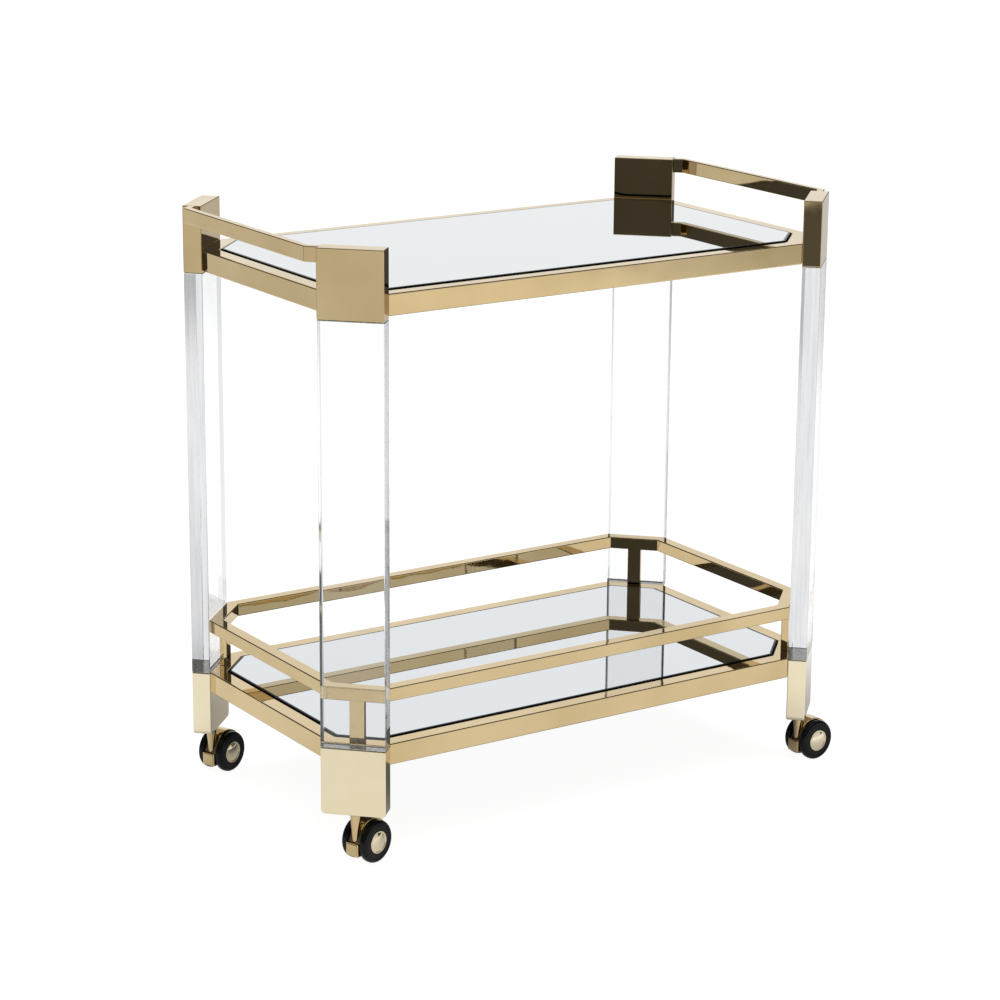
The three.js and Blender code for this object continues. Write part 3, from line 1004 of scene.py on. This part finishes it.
@dataclass(frozen=True)
class Caster:
    """One swivel caster: socket, hood with its boss, and two wheels with domed caps.

    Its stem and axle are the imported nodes. Each size called an edge is the radius of a rounded corner, and
    each drop is measured down from the tyre's outer face.
    """

    corner: Corner
    wheel_radius: float = 0.028
    tyre_width: float = 0.010
    hub_radius: float = 0.013
    cap_radius: float = 0.0149
    cap_seat: float = 0.0014
    cap_rim: float = 0.0011
    cap_dome: float = 0.0024
    axle_radius: float = 0.0025
    axle_into_hub: float = 0.0065
    hood_width: float = 0.020
    hood_over_wheel: float = 0.0021
    nose_reach: float = 0.009
    nose_bottom: float = 0.0125
    nose_top: float = 0.0305
    panel_margin: float = 0.0016
    panel_rise: float = 0.0009
    panel_thickness: float = 0.00135
    web_start: float = math.radians(118)
    web_foot: float = -0.0042
    trail: float = 0.021
    boss_radius: float = 0.0072
    boss_foot_radius: float = 0.0048
    socket_wall: float = 0.0016
    socket_bore: float = 0.00505
    flange_thickness: float = 0.0015
    hood_edge: float = 0.0011
    nose_edge: float = 0.001
    web_edge: float = 0.002
    arc_facets: int = 31
    boss_edge: float = 0.0006
    panel_edge: float = 0.0012
    inner_shoulder: float = 0.0024
    outer_shoulder: float = 0.0046
    shoulder_drop: float = 0.0009
    tyre_step: float = 0.0226
    step_fall: float = 0.0007
    wall_start: float = 0.0217
    wall_drop: float = 0.0002
    wall_end_drop: float = 0.0004
    lip_height: float = 0.0004
    lip_width: float = 0.0016
    lip_slope: float = 0.0004
    lip_to_dome: float = 0.0026
    dome_facets: int = 11
    least_dome: float = 0.03
    fine_edge: float = 0.0002
    soft_edge: float = 0.0003
    full_edge: float = 0.0004
    tip: float = 0.0003
    fit_gap: float = 0.0003
    facets: int = 72
    small_facets: int = 48

    def build(self) -> None:
        """Builds every piece of the caster."""
        self.build_socket()
        self.build_hood()
        for wheel, side in (("near", -1), ("far", 1)):
            axes = self.wheel_axes(side)
            self.build_tyre(f"{wheel}_tyre_{self.corner.label}", axes)
            self.build_hub(f"{wheel}_hub_{self.corner.label}", axes)

    def joint(self, name: str) -> dict:
        """Returns the joint of that name at this corner."""
        wanted = f"{name}_{self.corner.label}"
        return next(joint for joint in frame["joints"] if joint["name"] == wanted)

    def swivel_axes(self) -> Axes:
        """Returns a frame on the swivel axis at the floor: X along the trail, Y along the axle, Z up."""
        swivel = np.array([*self.joint("swivel")["pos_m"][:2], 0.0])
        axle = unit(np.array(self.joint("roll_near")["axis"], float))
        up = np.array([0.0, 0.0, 1.0])
        return Axes(swivel, np.stack([np.cross(axle, up), axle, up]))

    def wheel_axes(self, side: int) -> Axes:
        """Returns a frame on a wheel's inner face, with Z outwards along the axle."""
        base = self.swivel_axes()
        aside = side * (self.hood_width / 2 + self.fit_gap)
        middle = base.place(np.array([self.trail, aside, self.wheel_radius]))
        outwards = base.rows[1] * side
        return Axes(middle, np.stack([base.rows[0], np.cross(outwards, base.rows[0]), outwards]))

    def build_socket(self) -> None:
        """The steel socket pressed into the foot block, with its flange below."""
        node = f"caster_socket_{self.corner.label}"
        low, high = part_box(node)
        base = self.swivel_axes()
        bore, flange = self.socket_bore, (high.x - low.x) / 2
        outer, seat = bore + self.socket_wall, low.z + self.flange_thickness
        foot, top = low.z, high.z
        corners = [(bore, foot), (flange, foot), (flange, seat), (outer, seat), (outer, top), (bore, top)]
        profile = rounded(corners, self.fine_edge, 2)
        fit(turned(Shell(), profile, base, self.small_facets, ring=True), node, Finish.STEEL)

    def build_hood(self) -> None:
        """The hood between the wheels: nose, ledge, arc over the wheels, and the boss under the block."""
        node = f"caster_body_{self.corner.label}"
        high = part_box(node)[1]
        base = self.swivel_axes()
        radius = self.wheel_radius + self.hood_over_wheel
        drop = math.asin((self.wheel_radius - self.nose_bottom) / radius)
        turn = np.linspace(-drop, self.web_start, self.arc_facets + 1)
        along, up = self.trail + radius * np.cos(turn), self.wheel_radius + radius * np.sin(turn)
        bends = [self.nose_edge, *[0.0] * (self.arc_facets - 1), self.web_edge]
        nose = self.panel_rise - self.nose_reach
        corners = [
            *zip(along, up, bends),
            (self.web_foot, self.nose_top, self.web_edge),
            (nose, self.nose_top, self.nose_edge),
            (nose, self.nose_bottom, self.nose_edge),
        ]
        outline = self.smooth(softened(corners))
        sideways = Axes(base.place(np.array([0.0, self.hood_width / 2, 0.0])),
                        np.stack([base.rows[0], base.rows[2], -base.rows[1]]))
        shell = slab(Shell(), outline, sideways, self.hood_width, self.hood_edge)
        foot, top = self.nose_top, high.z
        boss = [(self.tip, foot), (self.boss_foot_radius, foot), (self.boss_radius, top), (self.tip, top)]
        turned(shell, rounded(boss, self.boss_edge, closed=False), base, self.small_facets)
        self.add_panel(shell, base)
        fit(shell, node, Finish.GOLD)

    def add_panel(self, shell: Shell, base: Axes) -> None:
        """The panel that stands a little proud of the nose's flat face."""
        middle = (self.nose_bottom + self.nose_top) / 2
        rows = np.stack([-base.rows[1], base.rows[2], -base.rows[0]])
        axes = Axes(base.place(np.array([self.panel_thickness - self.nose_reach, 0.0, middle])), rows)
        wide = self.hood_width - 2 * self.panel_margin
        tall = self.nose_top - self.nose_bottom - 2 * self.panel_margin
        face = rectangle(wide, tall, self.panel_edge)
        slab(shell, face, axes, self.panel_thickness, self.panel_rise / 2, 3)

    @staticmethod
    def smooth(outline: Outline) -> Outline:
        """Returns the outline with each unrounded point's normal halfway between its two edges' normals."""
        ahead = unit(np.roll(outline.points, -1, axis=0) - outline.points)
        behind = unit(outline.points - np.roll(outline.points, 1, axis=0))
        along = unit(ahead + behind)
        halfway = np.stack([along[:, 1], -along[:, 0]], axis=1)
        close = (ahead * behind).sum(1, keepdims=True) > SMOOTH_BEND
        return Outline(outline.points, np.where(close, halfway, outline.normals))

    def build_tyre(self, node: str, axes: Axes) -> None:
        """The tyre: tread with round shoulders, a moulded step on its face and the seat of the cap."""
        bore, seat = self.hub_radius + self.fit_gap, self.cap_radius + self.fit_gap
        face, step = self.tyre_width, self.tyre_step
        corners = [
            (bore, 0.0, self.soft_edge),
            (self.wheel_radius, 0.0, self.inner_shoulder),
            (self.wheel_radius, face - self.shoulder_drop, self.outer_shoulder),
            (step + self.step_fall, face, self.full_edge),
            (step, face - self.step_fall, self.soft_edge),
            (self.wall_start, face - self.wall_drop, self.full_edge),
            (seat, face - self.wall_end_drop, self.soft_edge),
            (seat, face - self.cap_seat, self.fine_edge),
            (bore, face - self.cap_seat, self.fine_edge),
        ]
        profile = softened(corners, 7)
        fit(turned(Shell(), profile, axes, self.facets, ring=True), node, Finish.TYRE)

    def build_hub(self, node: str, axes: Axes) -> None:
        """The hub with its cap: a raised rim, a shallow groove and a low dome."""
        seat = self.tyre_width - self.cap_seat + self.fit_gap
        rim = seat + self.cap_rim
        bore, end = self.axle_radius + self.fit_gap, self.axle_into_hub + self.fit_gap
        widest, lip = self.cap_radius - self.lip_to_dome, self.cap_radius - self.lip_width
        dome = np.linspace(1, self.least_dome, self.dome_facets + 1) * widest
        rise = self.cap_dome * (1 - (dome / widest) ** 2)
        corners = [
            (self.tip, end, 0.0),
            (bore, end, self.fine_edge),
            (bore, 0.0, self.soft_edge),
            (self.hub_radius, 0.0, self.soft_edge),
            (self.hub_radius, seat, self.fine_edge),
            (self.cap_radius, seat, self.fine_edge),
            (self.cap_radius, rim + self.lip_height, self.full_edge),
            (lip, rim + self.lip_height, self.full_edge),
            (lip - self.lip_slope, rim - self.lip_height, self.soft_edge),
            *zip(dome, rim + rise, [self.fine_edge, *[0.0] * self.dome_facets]),
        ]
        profile = self.smooth_open(softened(corners, closed=False))
        fit(turned(Shell(), profile, axes, self.facets), node, Finish.PALE_GOLD)

    @staticmethod
    def smooth_open(outline: Outline) -> Outline:
        """Returns an open line whose normals, where it hardly bends, follow its two neighbours."""
        along = unit(np.gradient(outline.points, axis=0))
        halfway = np.stack([along[:, 1], -along[:, 0]], axis=1)
        close = (halfway * outline.normals).sum(1, keepdims=True) > SMOOTH_CAP_BEND
        return Outline(outline.points, np.where(close, halfway, outline.normals))


def dress_hidden_nodes() -> None:
    """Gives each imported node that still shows, the stems and axles, its finish."""
    for corner in Corner:
        for node in (f"caster_stem_{corner.label}", f"caster_axle_{corner.label}"):
            mesh = frame["nodes"][node].data
            mesh.materials.clear()
            mesh.materials.append(Finish.STEEL.material())
            log.info("%s: packed node in %s", node, Finish.STEEL.slot)


# ---- Studio ----------------------------------------------------------------------------------------


@dataclass(frozen=True)
class Shadow:
    """A soft dark place on the floor that polished faces see, round after each axis is stretched."""

    centre: tuple
    stretch: tuple
    core: float
    edge: float
    least: float

    def share(self, nodes: Nodes, place: bpy.types.NodeSocket) -> bpy.types.NodeSocket:
        """Returns the share of light that is left: least in the core, rising to 1 at the edge."""
        moved = nodes.vector("SUBTRACT", place, self.centre)
        spread = nodes.vector("LENGTH", nodes.vector("MULTIPLY", moved, self.stretch))
        risen = nodes.math("MULTIPLY", nodes.between(spread, self.core, self.edge), 1.0 - self.least)
        return nodes.math("ADD", risen, self.least)


@dataclass(frozen=True)
class Wall:
    """A white wall far off: its bearing and its half widths at full light and at none, all in degrees."""

    bearing: float
    full: float
    gone: float
    light: float

    def seen(self, nodes: Nodes, direction: bpy.types.NodeSocket, level: bpy.types.NodeSocket,
             ) -> bpy.types.NodeSocket:
        """Returns the wall's light by the cosine of the angle in plan from its bearing to a direction."""
        facing = math.radians(self.bearing)
        along = nodes.vector("DOT_PRODUCT", direction, (math.cos(facing), math.sin(facing), 0))
        ends = [math.cos(math.radians(angle)) for angle in (self.gone, self.full)]
        share = nodes.between(nodes.math("DIVIDE", along, level), *ends)
        return nodes.math("MULTIPLY", share, self.light)


@dataclass(frozen=True)
class Studio:
    """Pale floor, white walls in a dim room for the polished faces to see, one lamp and the camera."""

    floor_half: float = 30.0
    lens_mm: float = 106.36
    place: tuple = (-2.15377, -3.23262, 1.45749)
    yaw: float = math.radians(33.49)
    pitch: float = math.radians(15.44)
    roll: float = math.radians(-0.43)
    floor_tone: float = 0.25
    floor_roughness: float = 0.9
    floor_glow: float = 0.93
    shadows: tuple = (
        Shadow((-2.87, -2.86, 0), (1, 1, 1), 0.35, 0.75, 0.15),
        Shadow((-4.2, 1.9, 0), (1, 1, 1), 1.0, 1.7, 0.10),
        Shadow((0.10, 0.05, 0), (1.3, 1.9, 1), 0.3, 1.0, 0.12),
    )
    pool_light: float = 0.97
    # How the pool of light on the floor changes along x: from, to, change.
    pool_changes: tuple = ((-0.2, -2.0, -0.20), (0.5, 1.1, 0.13), (1.8, 2.8, -0.46))
    walls: tuple = (Wall(73.0, 23.0, 32.0, 0.93), Wall(-58.0, 18.0, 28.0, 0.70))
    wall_top: tuple = (0.40, 0.54)
    lamp_edge: tuple = (0.90, 0.96)
    lamp_light: float = 1.05
    room_light: float = 0.08
    backdrop_light: float = 0.96
    sun_strength: float = 1.4
    sun_width: float = math.radians(80)
    sun_tilt: tuple = (math.radians(12), math.radians(-8), 0)
    clip: tuple = (0.05, 200)

    def build(self) -> None:
        """Builds the floor, the surroundings, the lamp and the camera."""
        self.build_floor()
        self.build_surroundings()
        self.build_lamp()
        self.build_camera()
        self.set_picture()

    def build_floor(self) -> None:
        """A large flat pale floor, whose light falls off along it where polished metal sees it."""
        half = self.floor_half
        mesh = bpy.data.meshes.new("studio_floor")
        corners = [(-half, -half, 0), (half, -half, 0), (half, half, 0), (-half, half, 0)]
        mesh.from_pydata(corners, [], [(0, 1, 2, 3)])
        floor = bpy.data.objects.new("studio_floor", mesh)
        bpy.context.scene.collection.objects.link(floor)
        mesh.materials.append(self.floor_material())

    def floor_material(self) -> bpy.types.Material:
        """Matt white for the eye and for soft light; a pool of light with a soft edge in reflections."""
        dresser = Dresser("studio_floor")
        nodes, shader = dresser.nodes, dresser.shader
        tone = self.floor_tone
        dresser.constant(Base_Color=(tone, tone, tone, 1), Roughness=self.floor_roughness)
        dresser.constant(Specular_IOR_Level=0.0)
        dresser.constant(Emission_Color=(1, 1, 1, 1), Emission_Strength=self.floor_glow)
        across = nodes.split(dresser.place)["X"]
        lit = self.pool_light
        for start, end, change in self.pool_changes:
            share = nodes.between(across, start, end)
            lit = nodes.math("ADD", nodes.math("MULTIPLY", share, change), lit)
        for shadow in self.shadows:
            lit = nodes.math("MULTIPLY", lit, shadow.share(nodes, dresser.place))
        glow = nodes.add("ShaderNodeEmission")
        nodes.join(lit, glow.inputs["Strength"])
        path = nodes.add("ShaderNodeLightPath")
        mix = nodes.add("ShaderNodeMixShader")
        nodes.join(nodes.math("GREATER_THAN", path.outputs["Glossy Depth"], 0.5), mix.inputs[0])
        nodes.join(shader.outputs[0], mix.inputs[1])
        nodes.join(glow.outputs[0], mix.inputs[2])
        output = dresser.material.node_tree.nodes["Material Output"]
        nodes.join(mix.outputs[0], output.inputs["Surface"])
        return dresser.material

    def build_surroundings(self) -> None:
        """White walls, a lamp overhead and dim light for bounced rays; a plain backdrop for the rest."""
        world = bpy.data.worlds.new("soft_studio")
        bpy.context.scene.world = world
        world.use_nodes = True
        nodes = Nodes(world.node_tree)
        direction = nodes.add("ShaderNodeTexCoord").outputs["Generated"]
        height = nodes.split(direction)["Z"]
        level = nodes.math("SQRT", nodes.math("SUBTRACT", 1.0, nodes.math("MULTIPLY", height, height)))
        below = nodes.math("SUBTRACT", 1.0, nodes.between(height, *self.wall_top))
        light = nodes.math("MULTIPLY", nodes.between(height, *self.lamp_edge), self.lamp_light)
        light = nodes.math("ADD", light, self.room_light)
        for wall in self.walls:
            seen = nodes.math("MULTIPLY", wall.seen(nodes, direction, level), below)
            light = nodes.math("ADD", light, seen)
        path = nodes.add("ShaderNodeLightPath")
        bounces = nodes.math("ADD", path.outputs["Glossy Depth"], path.outputs["Diffuse Depth"])
        room = nodes.math("GREATER_THAN", bounces, 0.5)
        plain = nodes.math("MULTIPLY", nodes.math("SUBTRACT", 1.0, room), self.backdrop_light)
        background = world.node_tree.nodes["Background"]
        background.inputs["Color"].default_value = (1, 1, 1, 1)
        light = nodes.math("ADD", nodes.math("MULTIPLY", light, room), plain)
        nodes.join(light, background.inputs["Strength"])

    def build_lamp(self) -> None:
        """One wide soft sun from overhead, which keeps the floor evenly white. The metal doesn't see it."""
        light = bpy.data.lights.new("overhead", "SUN")
        light.energy = self.sun_strength
        light.angle = self.sun_width
        lamp = bpy.data.objects.new("overhead", light)
        lamp.rotation_euler = self.sun_tilt
        lamp.visible_glossy = False
        bpy.context.scene.collection.objects.link(lamp)

    def build_camera(self) -> None:
        """The camera, turned by yaw from +Y, tipped down by pitch and leaning by roll."""
        data = bpy.data.cameras.new("camera")
        data.lens = self.lens_mm
        data.clip_start, data.clip_end = self.clip
        camera = bpy.data.objects.new("camera", data)
        ahead = math.cos(self.pitch)
        forward = np.array([math.sin(self.yaw) * ahead, math.cos(self.yaw) * ahead, -math.sin(self.pitch)])
        level = np.array([math.cos(self.yaw), -math.sin(self.yaw), 0.0])
        down = np.cross(forward, level)
        right = level * math.cos(self.roll) + down * math.sin(self.roll)
        up = level * math.sin(self.roll) - down * math.cos(self.roll)
        turn = Matrix(np.stack([right, up, -forward], axis=1).tolist()).to_4x4()
        camera.matrix_world = Matrix.Translation(self.place) @ turn
        bpy.context.scene.collection.objects.link(camera)
        bpy.context.scene.camera = camera

    @staticmethod
    def set_picture() -> None:
        """Plain tone reproduction, enough bounces for glass before mirrors, and a clean-up of noise."""
        scene = bpy.context.scene
        scene.view_settings.view_transform = "Standard"
        scene.cycles.use_denoising = True
        scene.cycles.max_bounces = 16
        scene.cycles.glossy_bounces = 8
        scene.cycles.transmission_bounces = 14
        scene.cycles.sample_clamp_indirect = 8.0


def main() -> None:
    """Builds the cart from the trays outwards."""
    logging.basicConfig(level=logging.INFO, format="%(name)s: %(message)s")
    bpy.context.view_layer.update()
    Studio().build()
    for level in ("top", "lower"):
        Tray(level).build()
    Gallery().build()
    for corner in Corner:
        CornerColumn(corner).build()
        Caster(corner).build()
    for end in End:
        Handle(end).build()
    dress_hidden_nodes()


if __name__ == "__main__":
    main()
